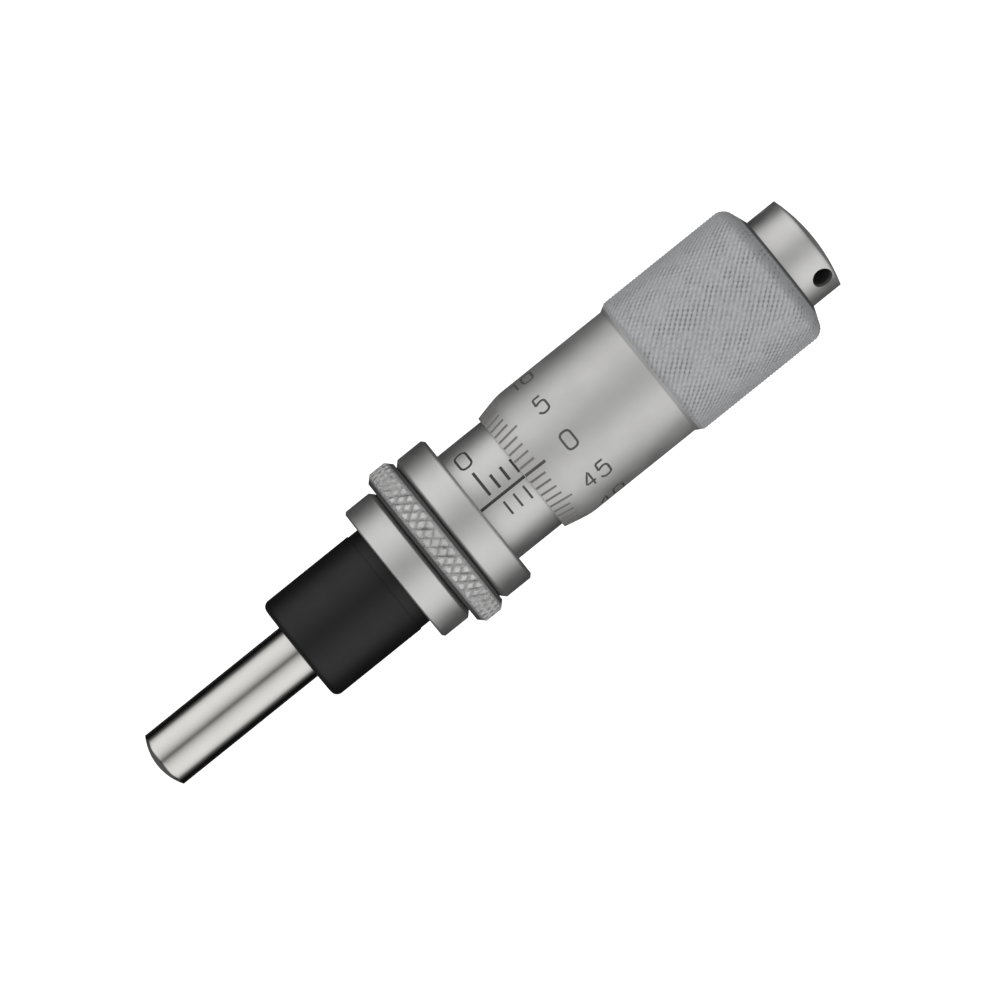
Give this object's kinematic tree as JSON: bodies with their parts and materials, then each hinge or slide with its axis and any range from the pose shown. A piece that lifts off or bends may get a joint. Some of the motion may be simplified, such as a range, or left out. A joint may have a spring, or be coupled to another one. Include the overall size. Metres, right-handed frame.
{
  "type": "micrometer head",
  "caption": "Micrometer head with a plain clamping stem, a ring lock between two flanges, a graduated sleeve and thimble, and a spherical spindle tip.",
  "frame": {"origin": "centre of the front flange's seat face, where the clamping stem leaves it", "axes": "+X along the measuring axis towards the spindle's tip, +Z through the index line on the sleeve, +Y to complete a right-handed frame"},
  "size_m": [0.0677, 0.0152, 0.015],
  "materials": {
    "ground_steel": "ground and lapped",
    "black_oxide": "semi-gloss black",
    "satin_chrome": "satin",
    "knurled_chrome": "knurled, satin",
    "bright_chrome": "fine turned, bright",
    "hard_steel": "hardened and ground",
    "turned_steel": "turned",
    "brass": "turned"
  },
  "bodies": {
    "barrel": {"stem": "black_oxide", "front_flange": "satin_chrome", "clamp_collar": "brass", "collar_key": "hard_steel", "rear_flange": "satin_chrome", "inner_sleeve": "turned_steel", "outer_sleeve": "satin_chrome", "adjusting_nut": "turned_steel"},
    "spindle": {"spindle": "ground_steel"},
    "thimble": {"thimble": "satin_chrome", "thimble_cap": "bright_chrome"},
    "lock_ring": {"lock_ring": "knurled_chrome"},
    "lock_roller": {"lock_roller": "hard_steel"}
  },
  "joints": [
    {"name": "spindle_feed", "type": "slide", "parent": "barrel", "child": "spindle", "axis": [1, 0, 0], "range_m": [-0.01, 0.003]},
    {"name": "thimble_turn", "type": "hinge", "parent": "spindle", "child": "thimble", "pos_m": [-0.025, 0, 0], "axis": [1, 0, 0], "range_deg": [-7200, 2160]},
    {"name": "lock_turn", "type": "hinge", "parent": "barrel", "child": "lock_ring", "pos_m": [-0.00442, 0, 0], "axis": [1, 0, 0], "range_deg": [0, 35]},
    {"name": "roller_press", "type": "slide", "parent": "barrel", "child": "lock_roller", "axis": [0, 0, 1], "range_m": [0, 0.0001]}
  ],
  "couplings": [
    {"joint": "thimble_turn", "follows": "spindle_feed", "rad_per_m": 12566},
    {"joint": "roller_press", "follows": "lock_turn", "m_per_rad": 0.0001637}
  ]
}
